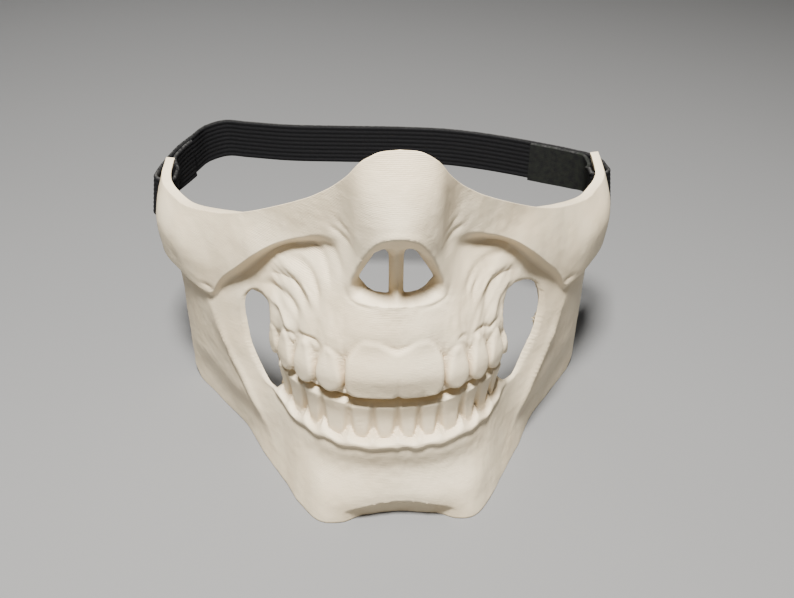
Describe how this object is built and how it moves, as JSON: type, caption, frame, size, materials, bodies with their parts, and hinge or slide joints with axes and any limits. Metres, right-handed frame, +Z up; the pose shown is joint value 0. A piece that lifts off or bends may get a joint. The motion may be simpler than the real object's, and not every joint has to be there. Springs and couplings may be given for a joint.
{
  "type": "skull mask",
  "caption": "Half-face skull mask covering nose to chin, with bared teeth, an open nose cavity and a hole beside each row of teeth, worn on a flat elastic strap.",
  "frame": {"origin": "middle of the bounding box at the table, under the lower edge of the jaw", "axes": "-Y is the front of the face, +Z is up, +X is the wearer's left; the mask stands on the lower edge of its jaw"},
  "size_m": [0.1648, 0.1374, 0.119],
  "materials": {
    "ivory_print": "matte printed plastic, ivory white, fine level layer lines",
    "black_elastic": "black ribbed elastic webbing"
  },
  "bodies": {
    "root": {"mask_shell": "ivory_print", "strap": "black_elastic"}
  },
  "joints": []
}
